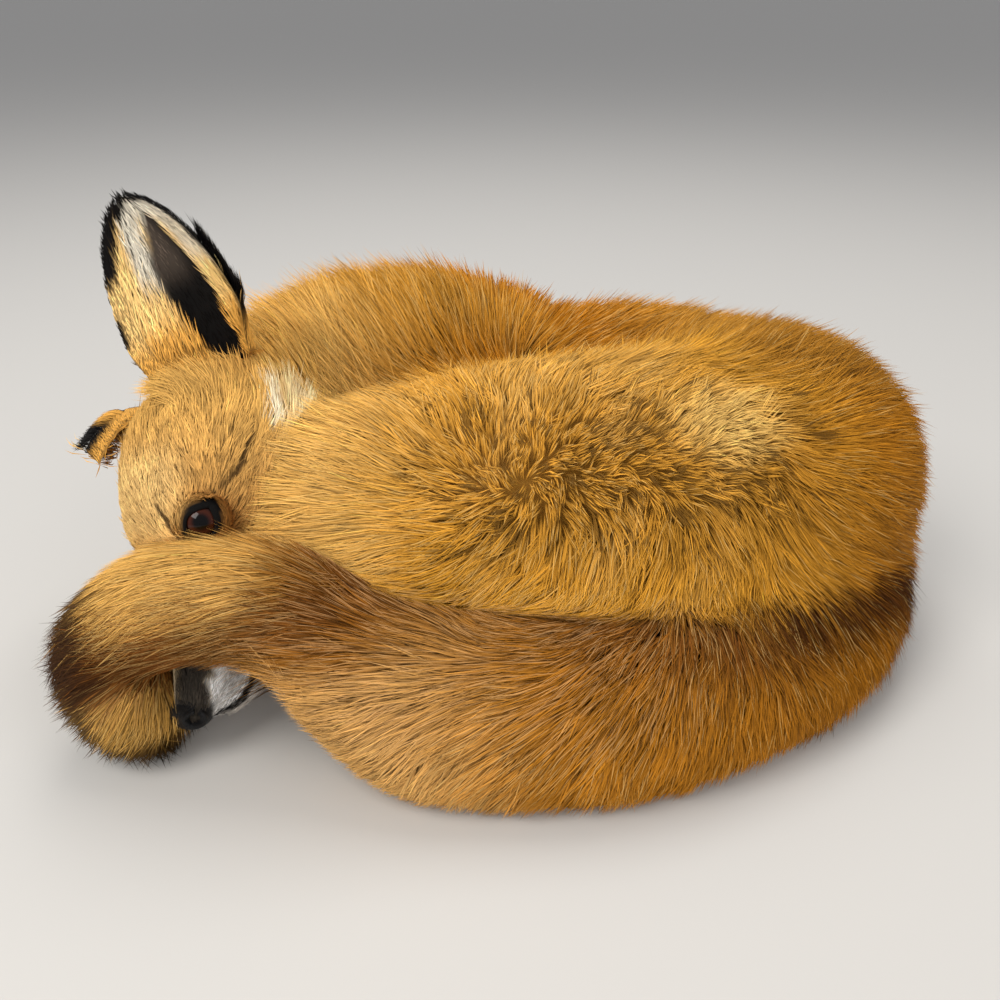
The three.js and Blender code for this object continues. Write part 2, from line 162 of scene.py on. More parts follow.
# The studio, in metres and watts.
CAMERA_PLACE = (0, -0.490, 0.318)
CAMERA_PITCH = 28
CAMERA_LENS = 36
LIGHT_AIM = np.array([0, 0, 0.08])
LIGHTS = [                   # a name, a place, a width, a power and a tint
    ("key", (-0.9, -0.9, 1.5), 1, 22, (1, 0.97, 0.93)),
    ("fill", (1.1, -1.2, 1), 1.4, 9, (1, 0.97, 0.94)),
    ("front", (-0.5, -1.5, 0.45), 0.9, 7, (1, 0.98, 0.95)),
    ("top", (0.1, 0.5, 1.6), 1.2, 14, (1, 0.98, 0.95)),
]
SKY = (0.95, 0.96, 1)
SKY_STRENGTH = 0.45
FLOOR_HALF = 40000           # half the floor's side, in millimetres

# ---------- colours, as sRGB

COLOURS = dict(
    # the paler colour for the patch above the eyes is a painted highlight
    face=(198, 149, 82), crown=(208, 160, 84), face_highlight=(230, 192, 126), inner_face=(184, 114, 50),
    cheek=(232, 206, 158), white_fur=(240, 224, 192), lip=(252, 249, 244), bridge=(232, 206, 164),
    smudge=(34, 32, 33), jaw=(214, 206, 196), black=(9, 8, 8), fold=(40, 24, 14),
    flank=(196, 138, 44), pale=(214, 166, 90), spot=(234, 188, 104), rust=(152, 94, 14),
    top=(184, 132, 48), top_dark=(146, 98, 30), far=(170, 118, 42), ruff=(166, 102, 14),
    # the groove colour darkens the band partly as painted shade; the deep colour is painted shade in the
    # crease between haunch and tail
    groove=(94, 52, 18), deep=(56, 28, 8), roll=(166, 108, 28), roll_left=(212, 162, 94),
    # the arm's underside colour is partly the band's brown and partly painted shade
    arm=(212, 162, 84), arm_under_band_and_shade=(112, 66, 24), tail_end=(180, 136, 66),
    grey=(96, 80, 50), ear_cream=(242, 200, 128), ear_white=(216, 208, 190), ear_grey=(96, 84, 74),
    ear_black=(20, 17, 16), ear_base=(218, 160, 74), underfur=(104, 66, 26), white_tip=(238, 200, 126),
    pink_tip=(220, 172, 116), dark_tip=(40, 25, 15), iris=(60, 25, 12), iris_rim=(16, 7, 4),
    pupil=(4, 3, 3), eye_edge=(9, 7, 7), nose=(7, 7, 8), floor=(196, 194, 190),
)


def linear(rgb):
    """An sRGB colour of 0 to 255 as linear light."""
    c = np.asarray(rgb, float) / 255
    return np.where(c <= 0.04045, c / 12.92, ((c + 0.055) / 1.055) ** 2.4)


PAINT = {name: linear(rgb) for name, rgb in COLOURS.items()}

# ---------- small helpers


def unit(v):
    """Each row of v at length 1."""
    v = np.asarray(v, float)
    return v / np.maximum(np.linalg.norm(v, axis=-1, keepdims=True), 1e-9)


def ramp(x, low, high):
    """0 below low, 1 above high, with a soft step between; low may be above high."""
    t = np.clip((x - low) / (high - low), 0, 1)
    return t * t * (3 - 2 * t)


def mix(a, b, t):
    """a where t is 0 and b where t is 1, for rows of colours or vectors."""
    t = np.asarray(t)[..., None]
    return a * (1 - t) + b * t


def layered(colour, *layers):
    """A colour with named paints laid over it in turn, each at its strength."""
    for name, strength in layers:
        colour = mix(colour, PAINT[name], strength)
    return colour


def dot(a, b):
    return np.sum(a * b, axis=-1)


def gap_to(p, place):
    """Distance from rows of p to one place."""
    return np.linalg.norm(p - place, axis=1)


def from_segment(p, start, end):
    """The nearest spot along a segment to rows of p, as 0 to 1, and the steps from there to p."""
    step = end - start
    away = p - start
    t = np.clip(away @ step / (step @ step), 0, 1)
    return t, away - t[:, None] * step


def square_to(v, normals):
    """Directions with their part along the normals taken away."""
    return unit(v - normals * dot(v, normals)[..., None])


FORWARD = unit(MUZZLE_AXIS)
CROWN = unit(CROWN_AXIS - FORWARD * (CROWN_AXIS @ FORWARD))
LEFT = np.cross(CROWN, FORWARD)
HEAD_AXES = np.array([-FORWARD, LEFT, CROWN])


def head_point(abc):
    """a back from the nose tip, b to the fox's left, c to its crown, as points of the model."""
    return NOSE_TIP + np.asarray(abc, float) @ HEAD_AXES


def head_place(p):
    """The reverse of head_point, for rows of points."""
    return (p - NOSE_TIP) @ HEAD_AXES.T


def waves(p, size, seed):
    """A smooth random value between about -1 and 1 at each row of p, with swells of a given size."""
    source = np.random.default_rng(seed)
    total = np.zeros(len(p))
    for _ in range(6):
        direction = unit(source.normal(size=3)) * 2 * math.pi / (size * source.uniform(0.7, 1.6))
        total += np.sin(p @ direction + source.uniform(0, 6.28))
    return total / 3


# ---------- distance fields


def blend(a, b, k):
    """The lesser of two distances, with a fillet of about k where they meet."""
    h = np.clip(0.5 + 0.5 * (b - a) / k, 0, 1)
    return b + (a - b) * h - k * h * (1 - h)


def smooth_stations(stations, steps):
    """A Catmull-Rom spline through rows of x, y, z and radius."""
    rows = np.asarray(stations, float)
    rows = np.vstack([2 * rows[0] - rows[1], rows, 2 * rows[-1] - rows[-2]])
    spans = len(rows) - 3
    u = np.linspace(0, spans, spans * steps + 1)
    i = np.minimum(u.astype(int), spans - 1)
    t = (u - i)[:, None]
    p0, p1, p2, p3 = (rows[i + k] for k in range(4))
    return 0.5 * (2 * p1 + (p2 - p0) * t + (2 * p0 - 5 * p1 + 4 * p2 - p3) * t**2
                  + (3 * p1 - p0 - 3 * p2 + p3) * t**3)


def tube(p, stations, steps=8):
    """Distance from rows of points to a tapered tube."""
    line = smooth_stations(stations, steps).astype(np.float32)
    p = p.astype(np.float32)
    nearest = np.full(len(p), 1e6, np.float32)
    for start, end in zip(line[:-1], line[1:]):
        t, gap = from_segment(p, start[:3], end[:3])
        distance = np.sqrt(np.einsum("ij,ij->i", gap, gap)) - (start[3] + t * (end[3] - start[3]))
        np.minimum(nearest, distance, out=nearest)
    return nearest


def ellipsoid(p, centre, radii, axes=np.eye(3)):
    """Distance to an ellipsoid, close to true near its surface."""
    local = (p - np.asarray(centre, float)) @ axes.T
    scaled = np.linalg.norm(local / np.asarray(radii, float), axis=1)
    slope = np.linalg.norm(local / np.asarray(radii, float) ** 2, axis=1)
    return scaled * (scaled - 1) / np.maximum(slope, 1e-9)


def head_field(p):
    """The head's outside, to the tips of its hair."""
    def stations(rows):
        return [(*head_point(row[:3]), row[3]) for row in rows]

    def egg(shape):
        return ellipsoid(p, head_point(shape[0]), shape[1], HEAD_AXES)

    snout = blend(tube(p, stations(MUZZLE)), tube(p, stations(JAW)), 4)
    face = blend(snout, egg(SKULL), 22)
    cheeked = blend(face, blend(egg(CHEEKS[0]), egg(CHEEKS[1]), 5), 16)
    return blend(cheeked, blend(egg(BROWS[0]), egg(BROWS[1]), 6), 12)


def body_field(p):
    """The outside of the neck, trunk and folded legs."""
    trunk = blend(tube(p, BACK), tube(p, LIMBS), 36)
    trunk = blend(trunk, blend(ellipsoid(p, *BELLY), ellipsoid(p, *CHEST), 20), 20)
    return blend(blend(trunk, ellipsoid(p, *SHOULDER), 14), tube(p, NECK), 20)


def tail_field(p):
    """The tail's outside, hollowed over the muzzle."""
    return -blend(-tube(p, TAIL), ellipsoid(p, *MUZZLE_HOLLOW), 8)


class Volume:
    """A field kept on the grid and read back between its nodes."""

    def __init__(self, values):
        self.values = values

    def at(self, p):
        """The field's value at rows of points."""
        limit = np.array(self.values.shape) - 1.001
        g = np.clip((p - GRID_LOW) / GRID_CELL, 0, limit)
        i = g.astype(int)
        f = g - i
        total = np.zeros(len(p))
        for corner in np.ndindex(2, 2, 2):
            weight = np.prod(np.where(corner, f, 1 - f), axis=1)
            x, y, z = (i + corner).T
            total += weight * self.values[x, y, z]
        return total

    def slope(self, p):
        """The field's outward direction at rows of points."""
        reach = 0.8 * GRID_CELL
        rise = [self.at(p + step) - self.at(p - step) for step in reach * np.eye(3)]
        return unit(np.stack(rise, axis=1))


def coat_depths(p):
    """How deep the coat is over the head, body and tail, at rows of points."""
    a, _, c = head_place(p).T
    x = p[:, 0]
    cheek = ramp(c, -4, -24) * ramp(a, 78, 108)
    head = 1.3 + 1.6 * ramp(a, 30, 90) + 4 * ramp(a, 105, 158) + 3 * cheek
    return head, 11 + 3 * ramp(x, 0, -80), 12.5 - 2 * ramp(x, -60, -120)


def joined(fields, p, head_fillet, crease_fillet):
    """The head, body and tail as one field, the tail sinking softly into the haunch's left part."""
    x, y, _ = p.T
    soft = 8 + crease_fillet * ramp(x, -75, -25) * ramp(x, 190, 120) * ramp(y, 20, -40)
    return blend(fields[0], blend(fields[1], fields[2], soft), head_fillet)


TICKS = [np.arange(low, high, GRID_CELL) for low, high in zip(GRID_LOW, GRID_HIGH)]
GRID_SHAPE = [len(ticks) for ticks in TICKS]
NODES = np.stack(np.meshgrid(*TICKS, indexing="ij"), axis=-1).reshape(-1, 3)
OUTSIDES = [head_field(NODES), body_field(NODES), tail_field(NODES)]
DEPTHS = coat_depths(NODES)
VOLUMES = [Volume(field.reshape(GRID_SHAPE)) for field in OUTSIDES]
COAT_TOP = Volume(joined(OUTSIDES, NODES, 5, 50).reshape(GRID_SHAPE))


def skin_field():
    """The skin on the grid: each part's outside, brought in by the coat's depth."""
    skin = joined([field + depth for field, depth in zip(OUTSIDES, DEPTHS)], NODES, 6, 26)
    for place in EYES.values():
        socket = EYE_RADIUS + 0.4 - gap_to(NODES, head_point(place))
        skin = np.maximum(skin, socket)
    return np.maximum(skin, FLOOR_RISE - NODES[:, 2]).reshape(GRID_SHAPE)


def surface_of(values):
    """The zero surface of a grid of values: a vertex to each cell that it passes, a quad to each edge."""
    inside = values < 0
    shape = np.array(values.shape) - 1

    def corner(array, offset):
        return array[tuple(slice(o, o + n) for o, n in zip(offset, shape))]

    total = np.zeros((*shape, 3))
    count = np.zeros(shape)
    for start in np.ndindex(2, 2, 2):
        for axis in range(3):
            if start[axis]:
                continue
            end = tuple(s + (k == axis) for k, s in enumerate(start))
            v0, v1 = corner(values, start), corner(values, end)
            crosses = corner(inside, start) != corner(inside, end)
            t = np.where(crosses, v0 / np.where(crosses, v0 - v1, 1), 0)
            place = np.zeros((*shape, 3)) + start
            place[..., axis] += t
            total += place * crosses[..., None]
            count += crosses
    active = count > 0
    number = np.full(shape, -1)
    number[active] = np.arange(active.sum())
    cells = np.argwhere(active)
    points = GRID_LOW + GRID_CELL * (cells + total[active] / count[active][:, None])

    quads = []
    for axis in range(3):
        u, v = np.eye(3, dtype=int)[[(axis + 1) % 3, (axis + 2) % 3]]
        ahead = np.roll(inside, -1, axis=axis)
        edge = inside != ahead
        edge[tuple(slice(-1, None) if k == axis else slice(None) for k in range(3))] = False
        at = np.argwhere(edge)
        at = at[(at[:, (axis + 1) % 3] > 0) & (at[:, (axis + 2) % 3] > 0)]
        at = at[(at < shape).all(axis=1)]
        around = [at, at - u, at - u - v, at - v]
        ring = np.stack([number[tuple(cell.T)] for cell in around], axis=1)
        turned = ~inside[tuple(at.T)]
        ring[turned] = ring[turned][:, ::-1]
        quads.append(ring)
    return points, np.concatenate(quads)


# ---------- Blender objects and materials


def add_object(name, data):
    """A new object in the scene."""
    obj = bpy.data.objects.new(name, data)
    bpy.context.scene.collection.objects.link(obj)
    return obj


def make_object(name, vertices, faces):
    """A smooth mesh object from millimetre vertices and faces of any sizes."""
    mesh = bpy.data.meshes.new(name)
    if isinstance(faces, np.ndarray):
        sizes = np.full(len(faces), faces.shape[1])
    else:
        sizes = np.array([len(face) for face in faces])
        faces = np.concatenate([np.asarray(face) for face in faces])
    mesh.vertices.add(len(vertices))
    mesh.vertices.foreach_set("co", (np.asarray(vertices, np.float32) * MM).ravel())
    mesh.loops.add(int(sizes.sum()))
    mesh.loops.foreach_set("vertex_index", np.asarray(faces, np.int32).ravel())
    mesh.polygons.add(len(sizes))
    mesh.polygons.foreach_set("loop_start", (np.cumsum(sizes) - sizes).astype(np.int32))
    mesh.update(calc_edges=True)
    mesh.shade_smooth()
    return add_object(name, mesh)


def read_rows(items, field, size, kind=np.float32):
    """A field of a mesh's items as an array, a row to each item."""
    flat = np.empty(size * len(items), kind)
    items.foreach_get(field, flat)
    return flat.reshape(-1, size)


def vertex_places(obj):
    """A mesh's vertices in millimetres."""
    return read_rows(obj.data.vertices, "co", 3).astype(float) / MM


def put(node, **values):
    """Sets a node's inputs; an underscore stands for a space in an input's name."""
    for name, value in values.items():
        node.inputs[name.replace("_", " ")].default_value = value


def paint(obj, colours):
    """Keeps a linear colour at each vertex."""
    layer = obj.data.color_attributes.new("coat", "FLOAT_COLOR", "POINT")
    rgba = np.ones((len(colours), 4), np.float32)
    rgba[:, :3] = np.clip(colours, 0, 1)
    layer.data.foreach_set("color", rgba.ravel())


def new_material(name, roughness, specular):
    """A Principled material, its node tree and its shader node."""
    material = bpy.data.materials.new(name)
    material.use_nodes = True
    shader = material.node_tree.nodes["Principled BSDF"]
    put(shader, Roughness=roughness, Specular_IOR_Level=specular)
    return material, material.node_tree, shader


def painted_material(name, roughness, specular):
    """A Principled material with the colours kept at the vertices, its tree, its shader and their source."""
    material, tree, shader = new_material(name, roughness, specular)
    source = tree.nodes.new("ShaderNodeAttribute")
    source.attribute_name = "coat"
    tree.links.new(source.outputs["Color"], shader.inputs["Base Color"])
    return material, tree, shader, source


def roughen(tree, shader, height, strength, distance):
    """Bumps a material by a height."""
    bump = tree.nodes.new("ShaderNodeBump")
    put(bump, Strength=strength, Distance=distance)
    tree.links.new(height, bump.inputs["Height"])
    tree.links.new(bump.outputs["Normal"], shader.inputs["Normal"])
    return bump


def skin_material():
    """Short fur and hide: the painted colour, broken up by a fine fleck and a bump."""
    material, tree, shader, source = painted_material("fox_skin", 0.75, 0.2)
    fleck = tree.nodes.new("ShaderNodeTexNoise")
    put(fleck, Scale=900, Detail=3)
    tone = tree.nodes.new("ShaderNodeMix")
    tone.data_type = "RGBA"
    tone.blend_type = "MULTIPLY"
    put(tone, Factor=0.5)
    tree.links.new(source.outputs["Color"], tone.inputs["A"])
    tree.links.new(fleck.outputs["Color"], tone.inputs["B"])
    tree.links.new(tone.outputs["Result"], shader.inputs["Base Color"])
    roughen(tree, shader, fleck.outputs["Fac"], 0.5, 0.0006)
    return material


def finish_piece(obj, material, slot, *nodes):
    """Gives a piece its material and its body, and hides the solids it stands for; the slot is not used."""
    obj.data.materials.append(material)
    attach(obj, "root")
    if nodes:
        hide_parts(*nodes)


# ---------- markings


def polyline_gap(p, points):
    """Distance from rows of p to a line through points of the head's frame."""
    line = head_point(np.array(points, float))
    gaps = [np.linalg.norm(from_segment(p, start, end)[1], axis=1) for start, end in zip(line[:-1], line[1:])]
    return np.min(gaps, axis=0)


def face_line_gap(p, line):
    """Distance from rows of p to a line of the left side of the face, or to the same line on the right."""
    return np.minimum(polyline_gap(p, line), polyline_gap(p, [(a, -b, c) for a, b, c in line]))


def head_colour(p):
    """The head's colours at rows of points."""
    a, b, c = head_place(p).T
    around = gap_to(p, head_point(EYE_PLACE))
    lip_top = -5 + 0.17 * a + 1.3 * waves(p, 7, 33)      # the dark mark's lower edge, over the lip
    dark = ramp(c, lip_top - 1.5, lip_top + 2) * ramp(a, 50, 34) * ramp(np.abs(b), 1.5, 4.5)
    below = np.interp(a, [row[0] for row in MOUTH_LINE], [row[2] for row in MOUTH_LINE])
    return layered(
        PAINT["face"],
        ("crown", ramp(a, 92, 150)),
        # painted highlight: the side of the head above the eye, turned up to the light, is painted paler
        ("face_highlight", 0.65 * ramp(c, 20, 34) * ramp(a, 74, 86) * ramp(a, 128, 104)),
        ("cheek", 0.8 * ramp(c, -8, -22) * ramp(a, 72, 105)),
        ("inner_face", 0.5 * ramp(around, 21, 11) * ramp(b, 0, 8) * ramp(c, 26, 14)),
        ("bridge", ramp(a, 62, 30)),
        ("lip", ramp(a, 66, 48) * ramp(c, lip_top + 2, lip_top - 1.5)),
        ("smudge", 0.96 * np.maximum(dark, ramp(a, 14, 9) * ramp(c, -8, -4))),
        ("jaw", ramp(c, below + 1, below - 2) * ramp(a, 90, 60)),
        ("black", ramp(face_line_gap(p, MOUTH_LINE), 3, 1.4) * ramp(a, 50, 38)),
        ("fold", 0.85 * fold_nearness(p)))


def fold_nearness(p):
    """1 in the dark folds at the corners of the eyes, 0 a little way from them."""
    return np.max([ramp(face_line_gap(p, line), width, 0.4 * width) for width, line in FACE_FOLDS], axis=0)


def body_colour(p):
    """The colours of the neck, trunk and legs at rows of points."""
    x, y, z = p.T
    near = ramp(y, 10, -30)
    spot = np.sqrt(((x - 105) / 36) ** 2 + ((y + 88) / 26) ** 2 + ((z - 141) / 17) ** 2)
    patches = ramp(waves(p, 30, 41), 0.1, 0.9)
    colour = layered(
        PAINT["ruff"],
        ("far", ramp(x, 20, 100)),
        ("top", 0.8 * ramp(y, 60, 20) * ramp(z, 110, 140)),
        ("flank", near),
        ("pale", 0.8 * near * ramp(x, -10, -60)),
        ("rust", 0.85 * ramp(x, 100, 175)),
        ("top_dark", 0.9 * ramp(x, 75, 115) * ramp(y, -62, -40) * ramp(z, 120, 140)),
        ("pale", 0.45 * near * ramp(z, 138, 152) * ramp(x, 90, 40)),
        ("spot", ramp(spot, 1.3, 0.5)),
        ("ear_base", 0.8 * ramp(gap_to(p, (-118, -25, 160)), 50, 25)),
        ("pale", 0.25 * patches * near * ramp(x, 120, 70)),
        ("grey", 0.15 * whorl_nearness(p)))
    return side_band(colour, p)


def band_height(p):
    """Height of each row of p over a plane that tilts down toward the near side."""
    return p[:, 2] + 0.53 * (p[:, 1] + 140)


def side_band(colour, p):
    """The near side's dark band, which runs on from the arm over the haunch's foot to the rump's groove:
    partly the coat's own brown, partly painted shade in the groove, and painted shade alone at its right end.
    """
    x, y, _ = p.T
    width = BAND_WIDTH - 6 * ramp(x, 80, 140)
    here = np.exp(-((band_height(p) - np.interp(x, BAND_X, BAND_HEIGHT)) / width) ** 2) * ramp(y, 0, -40)
    # groove: the band's brown, darkened partly as painted shade; deep: painted shade in the crease at the
    # band's right end
    return layered(colour, ("groove", 0.85 * here), ("deep", 0.9 * here * ramp(x, 80, 130)))


def whorl_nearness(p):
    """1 at the haunch's whorl, falling to 0 away from it."""
    return ramp(np.linalg.norm(from_segment(p, *WHORL)[1], axis=1), 44, 16)


def tail_colour(p):
    """The tail's colours at rows of points."""
    x, _, z = p.T
    t = along_line(p, TAIL)[0]
    rise = band_height(p)
    colour = layered(
        PAINT["rust"],
        ("roll", ramp(t, 0.10, 0.30)),
        ("roll_left", 0.9 * ramp(x, 40, -40) * ramp(rise, 62, 44)),
        ("arm", ramp(x, -66, -94) * ramp(z, 72, 92)))
    return layered(
        side_band(colour, p),
        # the arm's underside: partly the band's brown, partly painted shade under the arm
        ("arm_under_band_and_shade", 0.8 * ramp(rise, 84, 72) * ramp(z, 46, 56) * ramp(x, -96, -116)),
        ("tail_end", ramp(t, 0.80, 0.88) * ramp(z, 56, 44)))


# ---------- the lie of the coat


def along_line(p, stations):
    """Place along a line, 0 to 1, and its direction there, at the nearest spot to each row of p."""
    line = smooth_stations(stations, 12)[:, :3]
    tangent = unit(np.gradient(line, axis=0))
    nearest = np.zeros(len(p), int)
    for start in range(0, len(p), SEARCH_ROWS):
        rows = slice(start, start + SEARCH_ROWS)
        nearest[rows] = ((p[rows, None] - line[None]) ** 2).sum(-1).argmin(1)
    return nearest / (len(line) - 1), tangent[nearest]


def head_flow(p):
    """Hair runs back from the nose, parts round the eyes and falls down the cheeks."""
    _, b, c = head_place(p).T
    eye = head_point(EYE_PLACE)
    near_eye = np.exp(-(gap_to(p, eye) / 17) ** 2)
    back = 1 - 0.35 * ramp(c, -4, -20)
    flow = np.stack([back, 0.012 * b, 0.3 * ramp(c, 4, 26) - 0.5 * ramp(c, -6, -26)], axis=1) @ HEAD_AXES
    flow = flow + unit(p - eye) * (1.1 * near_eye)[:, None]
    for ear in EARS.values():
        flow = flow + unit(ear["along"]) * (1.6 * ear_nearness(p, ear))[:, None]
    return flow


def ear_nearness(p, ear):
    """1 at an ear's root, falling away round it."""
    return np.exp(-(gap_to(p, head_point(ear["root"])) / 26) ** 2)


def by_ears(p):
    """1 close round the root of either ear, 0 away from them."""
    return ramp(np.max([ear_nearness(p, ear) for ear in EARS.values()], axis=0), 0.35, 0.8)


def body_flow(p):
    """Hair runs back along the spine, and out from the whorl on the haunch."""
    spine = along_line(p, NECK + BACK[1:])[1]
    out = unit(from_segment(p, *WHORL)[1])
    return mix(unit(spine * 0.5 + out), out, ramp(p[:, 1], 22, -22))


def tail_flow(p):
    """Hair runs to the tail's tip, falling toward the floor."""
    return along_line(p, TAIL)[1] + np.array([0, -0.1, -0.4])


FLOWS = [head_flow, body_flow, tail_flow]


def stroke_flow(p):
    """The combed direction at rows of points on the near side, and how strongly the strokes hold there."""
    gap = (p[:, None, 0] - STROKES[None, :, 0]) ** 2 + (p[:, None, 2] - STROKES[None, :, 1]) ** 2
    weight = np.exp(-gap / (2 * STROKE_REACH**2))
    turn = weight @ STROKES[:, 2:]
    direction = turn @ np.array([(1, 0, 0), VIEW_UP])
    return unit(direction), ramp(weight.sum(axis=1), 0.02, 0.25)


def combed(p, normals, owner):
    """The coat's direction along the surface, blended where two parts meet."""
    def swells(size, seed):
        return np.stack([waves(p, size, seed + k) for k in range(3)], axis=1)

    total = np.zeros((len(p), 3))
    distance = np.stack([volume.at(p) for volume in VOLUMES])
    distance -= distance.min(axis=0)
    for n, flow in enumerate(FLOWS):
        weight = np.exp(-distance[n] / 5) * np.where(owner == n, 1, 0.25)
        near = weight > 0.01
        total[near] += unit(flow(p[near])) * weight[near, None]
    strokes, hold = stroke_flow(p)
    hold = hold * ramp(normals @ VIEW_SIDE, -0.25, 0.25) * (owner > 0)
    total = mix(unit(total), strokes, hold)
    curl = swells(12, 70) * (0.42 * whorl_nearness(p))[:, None]
    return square_to(unit(total) + swells(34, 60) * 0.22 + curl, normals)


# ---------- the skin


def make_skin():
    """One skin for the head, neck, trunk, legs and tail."""
    points, quads = surface_of(skin_field())
    obj = make_object("skin", points, quads)
    smoother = obj.modifiers.new("smooth", "LAPLACIANSMOOTH")
    smoother.iterations = 2
    smoother.lambda_factor = 0.3
    bpy.context.view_layer.objects.active = obj
    obj.select_set(True)
    bpy.ops.object.modifier_apply(modifier=smoother.name)
    unwrap(obj)
    vertices = vertex_places(obj)
    owner = owners(vertices)
    under_shade = np.where(owner == 0, 0.85, 0.62)       # darker under the long coat than under the face's
    paint(obj, coat_tone(vertices, owner) * under_shade[:, None])
    finish_piece(obj, skin_material(), "body_coat", "head", "neck", "trunk", "foreleg_left", "foreleg_right",
                 "hind_leg_left", "hind_leg_right", "tail_root", "tail_middle", "tail_tip")
    return obj


def unwrap(obj):
    """Lays the piece's own surface out flat in the map that the coat is placed by."""
    bpy.ops.object.select_all(action="DESELECT")
    bpy.context.view_layer.objects.active = obj
    obj.select_set(True)
    obj.data.uv_layers.new(name="OFBake")
    bpy.ops.object.mode_set(mode="EDIT")
    bpy.ops.mesh.select_all(action="SELECT")
    bpy.ops.uv.smart_project(angle_limit=math.radians(66), island_margin=0.002)
    bpy.ops.object.mode_set(mode="OBJECT")
    obj.select_set(False)


def owners(p):
    """Which part each row of p lies on: 0 the head, 1 the body, 2 the tail."""
    skins = [volume.at(p) + depth for volume, depth in zip(VOLUMES, coat_depths(p))]
    return np.argmin(skins, axis=0)


def coat_tone(p, owner):
    """The coat's colour at rows of points."""
    colour = np.zeros((len(p), 3))
    for n, tone in enumerate((head_colour, body_colour, tail_colour)):
        here = owner == n
        colour[here] = tone(p[here])
    return colour


# ---------- tufts


def scatter(obj, density):
    """Random spots on a piece, at density tufts a square mm: their points, normals and places in its map."""
    mesh = obj.data
    mesh.calc_loop_triangles()
    places = vertex_places(obj)[read_rows(mesh.loop_triangles, "vertices", 3, np.int32)]
    loops = read_rows(mesh.loop_triangles, "loops", 3, np.int32)
    maps = read_rows(mesh.uv_layers["OFBake"].uv, "vector", 2)[loops]
    across = np.cross(places[:, 1] - places[:, 0], places[:, 2] - places[:, 0])
    wanted = np.linalg.norm(across, axis=1) / 2 * density(places.mean(axis=1), unit(across))
    number = np.floor(wanted + RNG.random(len(places))).astype(int)
    pick = np.repeat(np.arange(len(places)), number)
    r = RNG.random((len(pick), 2))
    fold = r.sum(axis=1) > 1
    r[fold] = 1 - r[fold]
    weight = np.stack([1 - r.sum(axis=1), r[:, 0], r[:, 1]], axis=1)[..., None]
    return (places[pick] * weight).sum(axis=1), unit(across[pick]), (maps[pick] * weight).sum(axis=1)


def settled(p, height):
    """Rows of points moved to a height above or below the coat's outside."""
    for _ in range(2):
        p = p + COAT_TOP.slope(p) * (height - COAT_TOP.at(p))[:, None]
    return p


def within(steps, limit):
    """Rows of steps, none longer than its limit."""
    return steps * np.minimum(1, limit / np.maximum(np.linalg.norm(steps, axis=1), 1e-6))[:, None]


def locks_of(roots, hairs):
    """The lock of hair that each root belongs to, a lock having about so many hairs."""
    centres = roots[RNG.permutation(len(roots))[:max(1, len(roots) // hairs)]]
    tree = KDTree(len(centres))
    for n, centre in enumerate(centres):
        tree.insert(centre, n)
    tree.balance()
    return np.array([tree.find(root)[1] for root in roots])


def gathered(tips, lock, pull):
    """Tips drawn toward the middle of their lock's tips."""
    count = np.maximum(np.bincount(lock), 1)[:, None]
    middle = np.stack([np.bincount(lock, tips[:, k]) for k in range(3)], axis=1) / count
    return tips + (middle[lock] - tips) * pull[:, None]


def tuft_mesh(name, roots, middles, tips, normals, width, colours, places):
    """Closed spindles, each from a root through a three-cornered middle to a tip, as one object."""
    count = len(roots)
    line = unit(tips - middles)
    side = unit(np.cross(line, normals))
    rise = np.cross(side, line)
    half = 0.5 * width[:, None]
    verts, shapes, spots = [roots], [-line * 0.2], [places + (0, -HALF_PATCH)]
    for across, up in ((-1, -0.3), (1, -0.3), (0, 0.7)):
        verts.append(middles + side * half * across + rise * half * up)
        shapes.append(side * 0.5 * across + rise * (up + 0.1))
        spots.append(places + (HALF_PATCH * across, 0))
    verts.append(tips)
    shapes.append(rise * 0.4)
    spots.append(places + (0, HALF_PATCH))
    verts = np.stack(verts, axis=1)
    verts[..., 2] = np.maximum(verts[..., 2], TUFT_RISE)
    faces = [(0, 1, 2), (0, 2, 3), (0, 3, 1), (4, 2, 1), (4, 3, 2), (4, 1, 3)]
    faces = (np.array(faces)[None] + 5 * np.arange(count)[:, None, None]).reshape(-1, 3)
    obj = make_object(name, verts.reshape(-1, 3), faces)
    root, middle, tip = colours
    paint(obj, np.stack([root, middle, middle, middle, tip], axis=1).reshape(-1, 3))
    bend = unit(normals[:, None] * 0.8 + np.stack(shapes, axis=1) * 0.8)
    obj.data.normals_split_custom_set_from_vertices(bend.reshape(-1, 3))
    layer = obj.data.uv_layers.new(name="OFBake")
    spots = np.stack(spots, axis=1).reshape(-1, 2)[faces.ravel()]
    layer.uv.foreach_set("vector", spots.astype(np.float32).ravel())
    return obj


def coat_sizes(p, normals, owner):
    """Length and width of the tufts at rows of roots."""
    a, _, c = head_place(p).T
    x, y, z = p.T
    crown, cheek = ramp(a, 110, 158), ramp(c, -6, -22) * ramp(a, 78, 108)
    head_length = 3.4 + 3.4 * ramp(a, 30, 90) + 8 * crown + 5 * cheek + 9 * by_ears(p)
    head_width = 0.28 + 0.24 * ramp(a, 30, 90) + 0.2 * crown
    whorl = whorl_nearness(p)
    foot = 9 * ramp(band_height(p), 98, 84) * ramp(y, 0, -40)            # over the haunch's foot
    clear = 0.5 + 0.5 * ramp(VOLUMES[0].at(p), 5, 30)      # shorter where the head presses on the coat
    body_length = (27 + 6 * ramp(x, 0, -80) - 21 * whorl + foot) * clear
    tail_length = 31 + 5 * ramp(x, -60, -130) - 15 * ramp(x, -120, -140) * ramp(z, 60, 40)
    body_width = 0.78 - 0.18 * ramp(x, -20, -80) - 0.2 * whorl
    lengths = np.choose(owner, [head_length, body_length, tail_length])
    widths = np.where(owner == 0, head_width, body_width) * (1 + 0.4 * far_side(normals))
    return lengths, widths


def far_side(normals):
    """1 on the sides turned away from the near side and down, where the coat has fewer and broader tufts."""
    return ramp(normals @ VIEW_SIDE, 0.15, -0.45)


